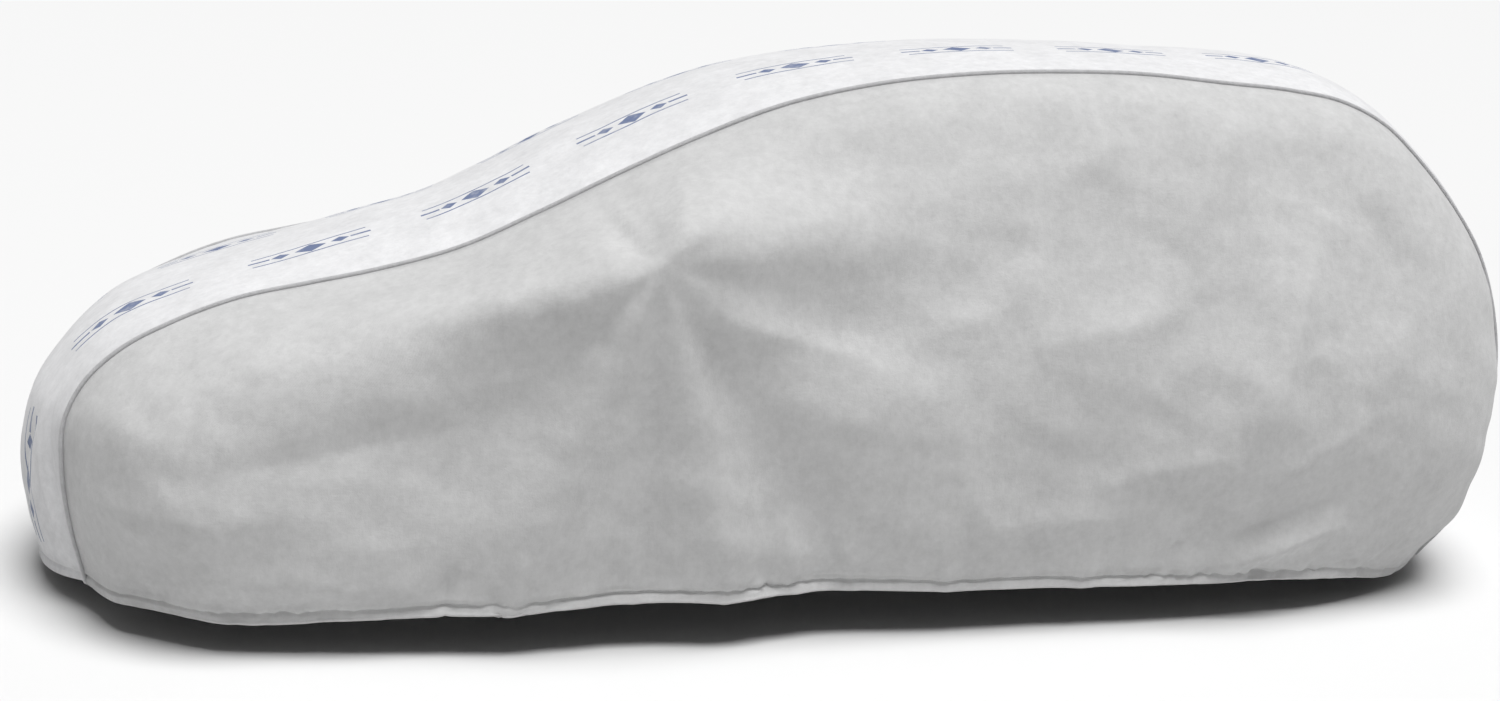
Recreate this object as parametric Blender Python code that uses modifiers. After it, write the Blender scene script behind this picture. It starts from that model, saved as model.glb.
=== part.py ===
"""Fitted car cover, for a small hatchback, in the shape in which it hangs.

Three cloth panels and two lines of piping. A pale strip runs from the front hem over
the nose, bonnet, windscreen, roof and tailgate to the rear hem. A side panel is sewn to
each of its long edges, and each seam holds a thin cord of piping. The lower edge of
all three panels is a hem that draws in underneath, so the cover is open below.

Frame: metres, +X toward the tail, +Z up, the left side at -Y. The origin lies under the
cloth at the top of the roof, where the cover is held up.
"""

import bpy
import numpy as np

# Cloth and piping
CLOTH_THICKNESS = 0.0025
PIPING_RADIUS = 0.004
SEWN_GAP = 0.0004

# Body of the cover
SIDE_HALF_WIDTH = 0.83
STRIP_CROWN_POWER = 2.2
CROWN_LEAST_RISE = -0.25
LEAN_POWER = 1.3
WAIST_Z = -0.84
TUCK_UNDER = 0.028
HEM_HEIGHT = 0.12
HEM_DRAW_IN = 0.022
REAR_HEM_RISE = 0.04
HEM_RISE_REACH = 0.4
SHOULDER_EASE = 1.5
FOLD_BLUNTNESS = 0.7

# Mesh divisions
ROWS = 16
COLUMNS = 40
STRIP_DIVISIONS = 8
EDGE_CROWDING = 0.5
SEAM_SAMPLES = 1500
TANGENT_STEP = 0.002

# The seam between strip and side panel, from the front hem to the rear hem
SEAM = (
    # x, z
    (-2.592, -1.343),
    (-2.624, -1.221),
    (-2.645, -1.061),
    (-2.640, -0.951),
    (-2.594, -0.855),
    (-2.515, -0.778),
    (-2.400, -0.713),
    (-2.250, -0.653),
    (-2.090, -0.616),
    (-1.930, -0.581),
    (-1.742, -0.526),
    (-1.553, -0.437),
    (-1.362, -0.339),
    (-1.167, -0.245),
    (-0.970, -0.164),
    (-0.766, -0.110),
    (-0.480, -0.068),
    (-0.230, -0.053),
    (0.000, -0.051),
    (0.230, -0.065),
    (0.440, -0.079),
    (0.584, -0.102),
    (0.714, -0.156),
    (0.842, -0.256),
    (0.954, -0.368),
    (1.057, -0.503),
    (1.120, -0.650),
    (1.152, -0.801),
    (1.152, -0.954),
    (1.132, -1.101),
    (1.078, -1.247),
    (0.975, -1.360),
)

# Cross-section of strip and side, at tape-measure places along the seam
SECTIONS = (
    # along, half_width, crown, round_out, round_depth, lean_depth
    (0.00, 0.400, 0.135, 0.320, 0.360, 0.80),  # front hem
    (0.33, 0.405, 0.105, 0.330, 0.360, 0.80),  # nose
    (0.48, 0.405, 0.062, 0.330, 0.350, 0.80),  # nose, upper
    (0.62, 0.410, 0.052, 0.330, 0.340, 0.75),  # bonnet edge
    (0.90, 0.420, 0.033, 0.315, 0.310, 0.65),  # bonnet front
    (1.25, 0.430, 0.064, 0.300, 0.250, 0.50),  # bonnet
    (1.60, 0.440, 0.070, 0.250, 0.210, 0.50),  # windscreen foot
    (2.10, 0.450, 0.070, 0.120, 0.140, 0.65),  # windscreen
    (2.70, 0.460, 0.048, 0.090, 0.120, 0.75),  # roof front
    (3.25, 0.460, 0.0525, 0.090, 0.120, 0.75),  # roof
    (3.90, 0.470, 0.093, 0.100, 0.140, 0.75),  # roof rear
    (4.35, 0.480, 0.140, 0.160, 0.250, 0.70),  # tailgate top
    (4.90, 0.490, 0.130, 0.230, 0.380, 0.70),  # tailgate
    (5.70, 0.480, 0.110, 0.230, 0.450, 0.70),  # rear hem
)

# Lower edge of a side panel, between its two ends at the seam
HEM = (
    # x, z
    (-2.420, -1.333),
    (-2.240, -1.338),
    (-2.000, -1.322),
    (-1.500, -1.303),
    (-1.100, -1.293),
    (-0.500, -1.300),
    (0.000, -1.307),
    (0.370, -1.313),
    (0.600, -1.332),
    (0.800, -1.368),
)

# Where a side panel's upper edge begins and ends, along the seam
FRONT_CORNER = 0.66
REAR_CORNER = 4.62

# The tent in which the cloth stands out on each side, ahead of the windows
TENT_X = -1.35
TENT_Z = -0.49
TENT_OUT = 0.88
TENT_SLOPE_FRONT = 0.30
TENT_SLOPE_BACK = 0.26
TENT_SLOPE_UP = 2.60
TENT_SLOPE_DOWN = 0.13
TENT_SOFTNESS = 0.022
TENT_TIP_RADIUS = 0.03
TENT_START_DEPTH = 0.10

# Main folds of each side panel: a soft ridge, or a trough where height is negative
LEFT_FOLDS = (
    # x0, z0, x1, z1, width, height
    (-1.33, -0.58, -1.31, -1.05, 0.070, -0.012),  # below the tent
    (-1.25, -0.60, -0.96, -1.25, 0.090, 0.014),  # fan, middle
    (-1.20, -0.56, -0.70, -0.78, 0.070, 0.012),  # fan, upper
    (-1.45, -0.60, -1.62, -1.20, 0.100, 0.010),  # fan, front
    (0.15, -1.28, 0.71, -0.90, 0.070, 0.012),  # rear, lower
    (0.22, -0.80, 0.17, -1.20, 0.080, 0.010),  # rear, upright
)
RIGHT_FOLDS = (
    # x0, z0, x1, z1, width, height
    (-1.36, -0.58, -1.42, -1.10, 0.080, -0.010),  # below the tent
    (-1.26, -0.60, -1.02, -1.20, 0.090, 0.013),  # fan, middle
    (-1.22, -0.56, -0.78, -0.84, 0.080, 0.010),  # fan, upper
    (0.25, -1.27, 0.78, -1.00, 0.080, 0.011),  # rear, lower
)

STRIP_COLOUR = (0.80, 0.80, 0.81, 1.0)
SIDE_COLOUR = (0.52, 0.52, 0.52, 1.0)
PIPING_COLOUR = (0.22, 0.22, 0.23, 1.0)
CLOTH_ROUGHNESS = 0.9
PIPING_ROUGHNESS = 0.7


def smooth(places, values, at):
    """Read a smooth curve through the values given at the places."""
    slopes = np.gradient(values, places, axis=0)
    at = np.asarray(at, dtype=float)
    index = np.clip(np.searchsorted(places, at) - 1, 0, len(places) - 2)
    span = (places[index + 1] - places[index])[..., None]
    t = ((at - places[index]) / span[..., 0])[..., None]
    start = values[index] * (1 + 2 * t) * (1 - t) ** 2
    end = values[index + 1] * (3 - 2 * t) * t**2
    leaving = slopes[index] * span * t * (1 - t) ** 2
    arriving = slopes[index + 1] * span * t**2 * (t - 1)
    return start + end + leaving + arriving


def tape_lengths(points):
    """Return the distance of each point from the first, along the points."""
    steps = np.linalg.norm(np.diff(points, axis=0), axis=1)
    return np.concatenate([[0.0], np.cumsum(steps)])


SEAM_POINTS = np.array(SEAM)
SEAM_PLACES = tape_lengths(SEAM_POINTS)
SEAM_LENGTH = SEAM_PLACES[-1]
SECTION_TABLE = np.array(SECTIONS)


def seam_point(along):
    """Return the seam's (x, z) at a distance along it."""
    return smooth(SEAM_PLACES, SEAM_POINTS, along)


def seam_tangent(along):
    """Return the seam's direction in the XZ plane."""
    along = np.clip(along, TANGENT_STEP, SEAM_LENGTH - TANGENT_STEP)
    run = seam_point(along + TANGENT_STEP) - seam_point(along - TANGENT_STEP)
    return run / np.linalg.norm(run, axis=-1, keepdims=True)


def outward(tangent):
    """Turn a seam direction into the direction that points out of the cover."""
    return np.stack([-tangent[..., 1], tangent[..., 0]], axis=-1)


def section(along):
    """Return the cross-section's sizes at a distance along the seam."""
    places = SECTION_TABLE[:, 0]
    sizes = smooth(places, SECTION_TABLE[:, 1:], np.clip(along, 0.0, places[-1]))
    return np.moveaxis(sizes, -1, 0)


def strip_edge_angle(along):
    """Return how far the strip's edge slopes down at the seam, in radians."""
    half_width, crown = section(along)[:2]
    return np.arctan(STRIP_CROWN_POWER * crown / half_width)


def crown_direction(along):
    """Return the direction in which the strip's middle stands out."""
    direction = outward(seam_tangent(along))
    direction[..., 1] = np.maximum(direction[..., 1], CROWN_LEAST_RISE)
    return direction / np.linalg.norm(direction, axis=-1, keepdims=True)


def strip_surface(along, across):
    """Return points of the strip; across runs from -1 at the left seam to 1."""
    half_width, crown = section(along)[:2]
    edge = 1 - (PIPING_RADIUS + SEWN_GAP) * np.cos(strip_edge_angle(along)) / half_width
    across = across * edge
    middle = 1 - np.abs(across) ** STRIP_CROWN_POWER
    near_hem = np.clip(1 - (SEAM_LENGTH - along) / HEM_RISE_REACH, 0, 1)
    raised = along - REAR_HEM_RISE * near_hem * middle
    lift = crown_direction(raised) * (crown * middle)[..., None]
    plane = seam_point(raised) + lift
    return np.stack([plane[..., 0], across * half_width, plane[..., 1]], axis=-1)


def quarter_round(depth, start_angle):
    """Rise from 0 to 1 as a quarter ellipse that sets off at start_angle."""
    closing = (1 - np.clip(depth, 0, 1)) * np.cos(start_angle)
    return (np.sqrt(1 - closing**2) - np.sin(start_angle)) / (1 - np.sin(start_angle))


def nearest_on_seam(plane):
    """Return each point's place along the seam and its depth inside it."""
    samples = np.linspace(0, SEAM_LENGTH, SEAM_SAMPLES)
    line = seam_point(samples)
    tangents = seam_tangent(samples)
    gaps = np.linalg.norm(plane[..., None, :] - line, axis=-1)
    nearest = gaps.argmin(axis=-1)
    offset = plane - line[nearest]
    along = samples[nearest] + (offset * tangents[nearest]).sum(axis=-1)
    depth = -(offset * outward(tangents[nearest])).sum(axis=-1)
    return np.clip(along, 0, SEAM_LENGTH), np.maximum(depth, 0)


def tent_push(x, z, out, depth):
    """Return how far the tent stands out beyond the rest of the panel."""
    slope_x = np.where(x < TENT_X, TENT_SLOPE_FRONT, TENT_SLOPE_BACK)
    slope_z = np.where(z < TENT_Z, TENT_SLOPE_DOWN, TENT_SLOPE_UP)
    fall = np.hypot((x - TENT_X) * slope_x, (z - TENT_Z) * slope_z)
    tent = TENT_OUT - (np.hypot(fall, TENT_TIP_RADIUS) - TENT_TIP_RADIUS)
    push = TENT_SOFTNESS * np.logaddexp(0, (tent - out) / TENT_SOFTNESS)
    return push * np.sin(np.pi / 2 * np.clip(depth / TENT_START_DEPTH, 0, 1))


def fold_height(x, z, folds):
    """Add up the ridges and troughs of a fold table."""
    total = np.zeros_like(x)
    for x0, z0, x1, z1, width, height in folds:
        run = np.array([x1 - x0, z1 - z0])
        length = np.hypot(*run)
        share = ((x - x0) * run[0] + (z - z0) * run[1]) / length**2
        aside = ((z - z0) * run[0] - (x - x0) * run[1]) / length
        body = np.sin(np.pi * np.clip(share, 0, 1)) ** FOLD_BLUNTNESS
        total += height * body * np.exp(-((aside / width) ** 2))
    return total


def side_start_angle(along):
    """Return the angle at which the side panel carries on from the strip."""
    half_width, crown, round_out, round_depth, _ = section(along)
    slope = STRIP_CROWN_POWER * crown / half_width
    return np.arctan(SHOULDER_EASE * slope * round_out / round_depth)


def side_out(plane, folds):
    """Return how far the side panel stands out from the middle plane."""
    x, z = plane[..., 0], plane[..., 1]
    along, depth = nearest_on_seam(plane)
    half_width, _, round_out, round_depth, lean_depth = section(along)
    rounding = quarter_round(depth / round_depth, side_start_angle(along))
    lean = 1 - (1 - np.clip(depth / lean_depth, 0, 1)) ** LEAN_POWER
    lean_out = SIDE_HALF_WIDTH - half_width - round_out
    above_hem = z - smooth(HEM_TABLE[:, 0], HEM_TABLE[:, 1:], x)[..., 0]
    below_waist = np.clip((WAIST_Z - z) / (WAIST_Z - HEM_TABLE[0, 1]), 0, 1)
    drawn = TUCK_UNDER * below_waist**2
    drawn += HEM_DRAW_IN * np.clip(1 - above_hem / HEM_HEIGHT, 0, 1) ** 2
    out = half_width + round_out * rounding + lean_out * lean
    out += (fold_height(x, z, folds) - drawn) * rounding
    return out + tent_push(x, z, out, depth)


def inset_seam(along):
    """Return the side panel's sewn edge, clear of the piping."""
    _, _, round_out, round_depth, _ = section(along)
    angle = side_start_angle(along)
    out_rate = round_out * np.cos(angle) / (1 - np.sin(angle))
    turn = (PIPING_RADIUS + SEWN_GAP) / np.hypot(out_rate, round_depth * np.tan(angle))
    inset = round_depth * (1 - np.cos(angle + turn) / np.cos(angle))
    return seam_point(along) - outward(seam_tangent(along)) * inset[..., None]


def crowded(shares):
    """Move evenly spaced shares toward 0 and 1, where the cloth curves most."""
    return shares - EDGE_CROWDING * np.sin(2 * np.pi * shares) / (2 * np.pi)


HEM_TABLE = np.vstack([inset_seam(0.0), HEM, inset_seam(SEAM_LENGTH)])
HEM_PLACES = tape_lengths(HEM_TABLE)


def side_plane(u, v):
    """Blend the seam's three runs and the hem into one patch in the XZ plane."""
    u, v = u[..., None], v[..., None]
    hem = smooth(HEM_PLACES, HEM_TABLE, u[..., 0] * HEM_PLACES[-1])
    top = inset_seam(FRONT_CORNER + u[..., 0] * (REAR_CORNER - FRONT_CORNER))
    front = inset_seam(v[..., 0] * FRONT_CORNER)
    rear = inset_seam(SEAM_LENGTH - v[..., 0] * (SEAM_LENGTH - REAR_CORNER))
    ends = (1 - u) * ((1 - v) * inset_seam(0.0) + v * inset_seam(FRONT_CORNER))
    ends += u * ((1 - v) * inset_seam(SEAM_LENGTH) + v * inset_seam(REAR_CORNER))
    return (1 - v) * hem + v * top + (1 - u) * front + u * rear - ends


def side_surface(u, v, folds, side):
    """Return points of a side panel; side is -1 for the left one and 1 for the right."""
    plane = side_plane(u, v)
    out = side_out(plane, folds)
    return np.stack([plane[..., 0], side * out, plane[..., 1]], axis=-1)


def seam_stations():
    """Return the places along the seam that panels and piping share."""
    rows = crowded(np.linspace(0, 1, ROWS + 1))
    columns = crowded(np.linspace(0, 1, COLUMNS + 1))
    front = rows * FRONT_CORNER
    top = FRONT_CORNER + columns * (REAR_CORNER - FRONT_CORNER)
    rear = SEAM_LENGTH - rows[::-1] * (SEAM_LENGTH - REAR_CORNER)
    return np.concatenate([front, top[1:-1], rear])


def material(name, colour, roughness):
    """Make a plain Principled material."""
    made = bpy.data.materials.new(name)
    made.use_nodes = True
    shader = made.node_tree.nodes["Principled BSDF"]
    shader.inputs["Base Color"].default_value = colour
    shader.inputs["Roughness"].default_value = roughness
    shader.inputs["Metallic"].default_value = 0.0
    return made


def cloth_panel(name, points, finish, collection):
    """Shape a grid onto a table of points and give it the cloth's thickness."""
    along, across = points.shape[:2]
    bpy.ops.mesh.primitive_grid_add(
        x_subdivisions=across - 1, y_subdivisions=along - 1, size=1
    )
    panel = bpy.context.object
    panel.name = name
    panel.data.name = name
    panel.data.vertices.foreach_set("co", points.astype(np.float32).ravel())
    panel.data.materials.append(finish)
    panel.data.shade_smooth()
    thickness = panel.modifiers.new("thickness", "SOLIDIFY")
    thickness.thickness = CLOTH_THICKNESS
    thickness.offset = 0.0
    thickness.use_even_offset = True
    move_to(panel, collection)


def make_strip(collection):
    """Make the pale strip over nose, bonnet, roof and tailgate."""
    across = np.linspace(-1, 1, STRIP_DIVISIONS + 1)
    along, across = np.meshgrid(seam_stations(), across, indexing="ij")
    finish = material("strip_cloth", STRIP_COLOUR, CLOTH_ROUGHNESS)
    cloth_panel("top_panel", strip_surface(along, across), finish, collection)


def make_side(name, folds, side, finish, collection):
    """Make one side panel."""
    rows = crowded(np.linspace(0, 1, ROWS + 1))
    columns = crowded(np.linspace(0, 1, COLUMNS + 1))
    v, u = np.meshgrid(rows, columns, indexing="ij")
    cloth_panel(name, side_surface(u, v, folds, side), finish, collection)


def make_piping(name, side, finish, collection):
    """Make the cord that runs in one seam."""
    along = seam_stations()
    plane = seam_point(along)
    half_width = section(along)[0]
    curve = bpy.data.curves.new(name, "CURVE")
    curve.dimensions = "3D"
    curve.bevel_depth = PIPING_RADIUS
    curve.bevel_resolution = 1
    curve.use_fill_caps = True
    spline = curve.splines.new("POLY")
    spline.points.add(len(along) - 1)
    for point, (x, z), width in zip(spline.points, plane, half_width):
        point.co = (x, side * width, z, 1.0)
    curve.materials.append(finish)
    piping = bpy.data.objects.new(name, curve)
    collection.objects.link(piping)


def move_to(item, collection):
    """Take an object out of its collections and put it in this one."""
    for old in list(item.users_collection):
        old.objects.unlink(item)
    collection.objects.link(item)


def clear_scene():
    """Remove every object of the scene."""
    for item in list(bpy.data.objects):
        bpy.data.objects.remove(item, do_unlink=True)


def main():
    """Build the cover."""
    clear_scene()
    cover = bpy.data.collections.new("car_cover")
    bpy.context.scene.collection.children.link(cover)
    side_cloth = material("side_cloth", SIDE_COLOUR, CLOTH_ROUGHNESS)
    cord = material("piping", PIPING_COLOUR, PIPING_ROUGHNESS)
    make_strip(cover)
    make_side("side_panel_left", LEFT_FOLDS, -1, side_cloth, cover)
    make_side("side_panel_right", RIGHT_FOLDS, 1, side_cloth, cover)
    make_piping("seam_piping_left", -1, cord, cover)
    make_piping("seam_piping_right", 1, cord, cover)


main()
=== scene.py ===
"""The looks of a fitted car cover: a pale strip over the top, two grey side panels,
piped seams and a turned hem, laid out as a Blender add-on.

Metres, +X toward the tail, +Z up, the left side at -Y, as in the frame. A side panel
and the strip are grids of points worked out from the seam's line, the cross-sections
and the hem. Folds, crumples and the hem's turning are added to the grid by height.
"""

import bpy
import numpy as np
from bpy.props import FloatProperty, FloatVectorProperty, PointerProperty
from mathutils import Matrix, Vector


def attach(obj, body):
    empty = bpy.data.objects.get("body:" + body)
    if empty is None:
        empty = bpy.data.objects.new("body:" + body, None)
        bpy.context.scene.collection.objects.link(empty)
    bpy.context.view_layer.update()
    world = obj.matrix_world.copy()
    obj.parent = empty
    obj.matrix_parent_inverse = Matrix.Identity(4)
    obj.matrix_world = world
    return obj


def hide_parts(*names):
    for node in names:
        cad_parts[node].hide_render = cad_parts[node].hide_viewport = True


bl_info = {
    "name": "Fitted car cover",
    "version": (1, 0, 0),
    "blender": (4, 5, 0),
    "location": "3D View > Sidebar > Car cover",
    "description": "Makes the cloth, piping and hem of a fitted car cover on its frame",
    "category": "Add Mesh",
}

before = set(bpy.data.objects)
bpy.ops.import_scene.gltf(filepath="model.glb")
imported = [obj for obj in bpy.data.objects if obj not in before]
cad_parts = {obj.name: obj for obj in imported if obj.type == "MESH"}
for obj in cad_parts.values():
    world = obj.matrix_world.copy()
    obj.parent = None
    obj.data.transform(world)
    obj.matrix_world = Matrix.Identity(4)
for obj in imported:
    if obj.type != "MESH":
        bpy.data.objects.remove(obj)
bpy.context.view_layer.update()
BODY = "root"
TAPE_MAP = "tape"

# Base shape, as in the frame's solids
TUCKED_EDGE = 0.0034
SIDE_HALF_WIDTH = 0.83
STRIP_CROWN_POWER = 2.2
CROWN_LEAST_RISE = -0.25
LEAN_POWER = 1.3
WAIST_Z = -0.84
TUCK_UNDER = 0.028
HEM_HEIGHT = 0.12
HEM_DRAW_IN = 0.022
REAR_HEM_RISE = 0.04
HEM_RISE_REACH = 0.4
SHOULDER_EASE = 1.5
SEAM_SAMPLES = 1500
TANGENT_STEP = 0.002
FRONT_CORNER = 0.66
REAR_CORNER = 4.62

SEAM = (
    # x, z
    (-2.592, -1.343),
    (-2.624, -1.221),
    (-2.645, -1.061),
    (-2.640, -0.951),
    (-2.594, -0.855),
    (-2.515, -0.778),
    (-2.400, -0.713),
    (-2.250, -0.653),
    (-2.090, -0.616),
    (-1.930, -0.581),
    (-1.742, -0.526),
    (-1.553, -0.437),
    (-1.362, -0.339),
    (-1.167, -0.245),
    (-0.970, -0.164),
    (-0.766, -0.110),
    (-0.480, -0.068),
    (-0.230, -0.053),
    (0.000, -0.051),
    (0.230, -0.065),
    (0.440, -0.079),
    (0.584, -0.102),
    (0.714, -0.156),
    (0.842, -0.256),
    (0.954, -0.368),
    (1.057, -0.503),
    (1.120, -0.650),
    (1.152, -0.801),
    (1.152, -0.954),
    (1.132, -1.101),
    (1.078, -1.247),
    (0.975, -1.360),
)
SECTIONS = (
    # along, half_width, crown, round_out, round_depth, lean_depth
    (0.00, 0.400, 0.135, 0.320, 0.360, 0.80),  # front hem
    (0.33, 0.405, 0.105, 0.330, 0.360, 0.80),  # nose
    (0.48, 0.405, 0.062, 0.330, 0.350, 0.80),  # nose, upper
    (0.62, 0.410, 0.052, 0.330, 0.340, 0.75),  # front edge
    (0.90, 0.420, 0.033, 0.315, 0.310, 0.65),  # low front, fore
    (1.25, 0.430, 0.064, 0.300, 0.250, 0.50),  # low front
    (1.60, 0.440, 0.070, 0.250, 0.210, 0.50),  # foot of the slope
    (2.10, 0.450, 0.070, 0.120, 0.140, 0.65),  # slope
    (2.70, 0.460, 0.048, 0.090, 0.120, 0.75),  # top, fore
    (3.25, 0.460, 0.0525, 0.090, 0.120, 0.75),  # top
    (3.90, 0.470, 0.093, 0.100, 0.140, 0.75),  # top, rear
    (4.35, 0.480, 0.140, 0.160, 0.250, 0.70),  # rear face, upper edge
    (4.90, 0.490, 0.130, 0.230, 0.380, 0.70),  # rear face
    (5.70, 0.480, 0.110, 0.230, 0.450, 0.70),  # rear hem
)
HEM = (
    # x, z
    (-2.420, -1.333),
    (-2.240, -1.338),
    (-2.000, -1.322),
    (-1.500, -1.303),
    (-1.100, -1.293),
    (-0.500, -1.300),
    (0.000, -1.307),
    (0.370, -1.313),
    (0.600, -1.332),
    (0.800, -1.368),
)

# A side panel's grid: its size, its columns' step as a share of its rows', and the finer
# rows beside a hem
PANEL_LENGTH = 3.60
PANEL_HEIGHT = 1.15
COLUMN_SHARE = 0.85
FINE_STEP = 0.003
FINE_RUN = 0.036

# How far from the seam folds reach their full height, and the smooth shape is evened out
EDGE_REACH = 0.07
STRIP_EDGE_REACH = 0.03
RELAX_REACH = 0.20
RELAX_ROUNDS = 30

# The hem: a flared band with a stitch groove and a lip above it, turned under
HEM_FLARE = 0.013
HEM_FLARE_POWER = 0.8
HEM_FLARE_AT_ENDS = 0.3
HEM_GROOVE = 0.004
HEM_GROOVE_WIDTH = 0.0045
HEM_LIP = 0.003
HEM_LIP_PLACE = 1.8
HEM_RETURN_ROWS = 3
HEM_TURN_ROWS = 6
STRIP_DRAW_IN = 0.012

# The hem's puckers, which come in bursts and fade toward the panel's ends
PUCKER_PITCH = 0.030
PUCKER_HEIGHT = 0.011
PUCKER_REACH = 0.045
PUCKER_SQUASH = 0.6
PUCKER_CENTRE = 0.8
PUCKER_AT_EDGE = 0.4
PUCKER_LEAST = 0.12
FINE_PUCKER_SHARE = 0.6
FINE_PUCKER_RATIO = 1.7
PUCKER_BURST = 0.28
PUCKERED_FROM = 0.6

# The cloth beside the piping: a swell, or a dip where it is negative, and ripples
SIDE_SEAM_SWELL = -0.0042
SIDE_SEAM_REACH = 0.022
STRIP_SEAM_SWELL = 0.0012
STRIP_SEAM_REACH = 0.010
SEAM_RIPPLE_START = 0.010
SEAM_RIPPLE_PITCH = 0.040
SEAM_RIPPLE_REACH = 0.05
SEAM_RIPPLE_HEIGHT = 0.0018
SEAM_RIPPLE_PATCH = 0.4
SEAM_RIPPLE_LEAST = 0.4

# Soft crumples: lumps, or rounded creases where creased is 1, tilted in degrees
CRUMPLES = (
    # size_x, size_y, size_z, tilt, seed, share, creased
    (0.34, 0.50, 0.150, 14, 11, 1.00, 0),
    (0.16, 0.30, 0.085, 14, 21, 0.45, 0),
    (0.20, 0.40, 0.110, 14, 31, 0.25, 1),
    (0.08, 0.12, 0.050, 14, 41, 0.30, 0),
    (0.03, 0.03, 0.030, 0, 51, 0.09, 0),
)
CREASE_ROUNDING = 0.012
STRIP_CRUMPLE_SHARE = 0.35
NOISE_KNOTS = 61
PATCH_CONTRAST = 0.8

# Seeds of the random heights; a side panel adds its side, -1 or 1
HEM_SEED = 40
SEAM_SEED = 60
STRIP_SEED = 5
STRIP_SEAM_SEED = 70
STRIP_HEM_SEEDS = (80, 90)

PIPING_RADIUS = 0.0065
PIPING_PROUD = 0.0012
PIPING_STEP = 0.010
PIPING_SIDES = 12
PIPING_WEAVE = 0.0016
PIPING_GRAIN = 0.0003

STITCH_PITCH = 0.006
STITCH_LENGTH = 0.0046
STITCH_WIDTH = 0.0011
STITCH_LIFT = 0.0009
# Corners 0 and 1 are a stitch's ends, 2 and 3 its sides, 4 and 5 its underside and top
STITCH_FACES = (
    (0, 2, 5), (2, 1, 5), (1, 3, 5), (3, 0, 5), (2, 0, 4), (1, 2, 4), (3, 1, 4), (0, 3, 4)
)

# The strip's print: two staggered rows of repeats, each symmetric about its middle
PRINT_ROW = 0.19
PRINT_REPEAT = 0.44
PRINT_STRENGTH = 0.9
PRINT_CONTRAST = 3.0
PRINT_LEVEL = 0.95
DIAMONDS = (
    # along, half_length, half_height
    (0.000, 0.040, 0.032),
    (0.075, 0.024, 0.020),
)
DASHES = (
    # along, aside, half_length, half_height
    (0.128, 0.000, 0.026, 0.0055),
    (0.060, 0.038, 0.085, 0.0034),
)

# Noises of the finishes, as scale, detail and roughness; strands are stretched
WIDE_NOISE = (9.0, 3.0, 0.6)
MOTTLE_NOISE = (42.0, 3.0, 0.65)
STRAND_NOISE = (160.0, 4.0, 0.7)
WORN_NOISE = (60.0, 3.0, 0.6)
TWIST_NOISE = (900.0, 1.0, 0.5)
STRAND_STRETCH = 0.35

# The cloth's cloudiness and grain, as shares of its noises and of its bonding dots
CLOUD_WIDE = 0.35
CLOUD_MOTTLE = 0.40
CLOUD_STRANDS = 0.125
GRAIN_STRANDS = 0.35
GRAIN_MOTTLE = 0.3
GRAIN_DOTS = 0.06
BOND_PITCH = 0.0035
SIDE_CONTRAST = 3.0
STRIP_CONTRAST = 3.2
SIDE_SHADES = (0.86, 1.10)
STRIP_SHADES = (0.86, 1.08)
SIDE_GRAIN = 0.0016
STRIP_GRAIN = 0.0014

# Camera: place, turn from +Y toward +X, tilt down and roll, in degrees
CAMERA_PLACE = (-2.4045, -5.144, 0.239)
CAMERA_YAW = 16.58
CAMERA_PITCH = 11.70
CAMERA_ROLL = 3.274
FLOOR_SIZE = 300.0
KEY_SOURCE = (0.09, -0.20, 1.0)
KEY_SPREAD = 35

# The tent in which each side stands out, about a third of the way back
TENT_X = -1.35
TENT_Z = -0.49
TENT_OUT = 0.88
TENT_SLOPE_FRONT = 0.30
TENT_SLOPE_BACK = 0.26
TENT_SLOPE_UP = 2.60
TENT_SLOPE_DOWN = 0.13
TENT_SOFTNESS = 0.022
TENT_TIP_RADIUS = 0.03
TENT_START_DEPTH = 0.10
TENT_RIDGE_DROP = 0.24
TENT_RIDGE_RISE = 0.085
TENT_RIDGE_RUN = 0.04
TENT_SHARP_REACH = 0.10
TENT_ROUNDS = 30
TENT_BLUNT = 0.004
TENT_BLUNTING = 0.05

# Ridges (rise above 0) and valleys that run out from the tent's tip, by angle. A crest
# is rounded over so many degrees and metres.
SPOKE_SOFTNESS = 4.0
SPOKE_ROUNDING = 0.005
SPOKE_READINGS = 7
SPOKE_FADING = 0.8
SPOKE_PROFILE = 3.44
LEFT_SPOKES = (
    # degrees, reach, rise
    (-158, 1.20, 0.024),
    (-130, 1.00, -0.026),
    (-112, 1.05, 0.032),
    (-93, 1.20, -0.026),
    (-74, 1.30, 0.029),
    (-59, 1.30, -0.028),
    (-47, 1.20, -0.003),
    (-43, 1.20, 0.010),
    (-31, 1.15, 0.018),
    (-18, 1.00, -0.006),
    (-10, 0.90, -0.006),
    (4, 0.85, 0.003),
    (18, 0.70, -0.006),
    (42, 0.38, 0.008),
    (92, 0.24, 0.003),
    (124, 0.28, 0.010),
    (132, 0.28, -0.010),
    (142, 0.28, 0.008),
    (158, 0.45, -0.004),
    (178, 0.65, 0.010),
)
RIGHT_SPOKES = (
    # degrees, reach, rise
    (-156, 0.60, 0.015),
    (-132, 0.60, -0.010),
    (-100, 0.70, 0.008),
    (-80, 0.80, -0.010),
    (-58, 0.80, 0.011),
    (-40, 0.75, -0.011),
    (-20, 0.70, 0.013),
    (4, 0.45, -0.008),
    (52, 0.28, 0.007),
    (100, 0.22, -0.001),
    (138, 0.24, 0.004),
    (166, 0.40, -0.006),
)

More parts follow.
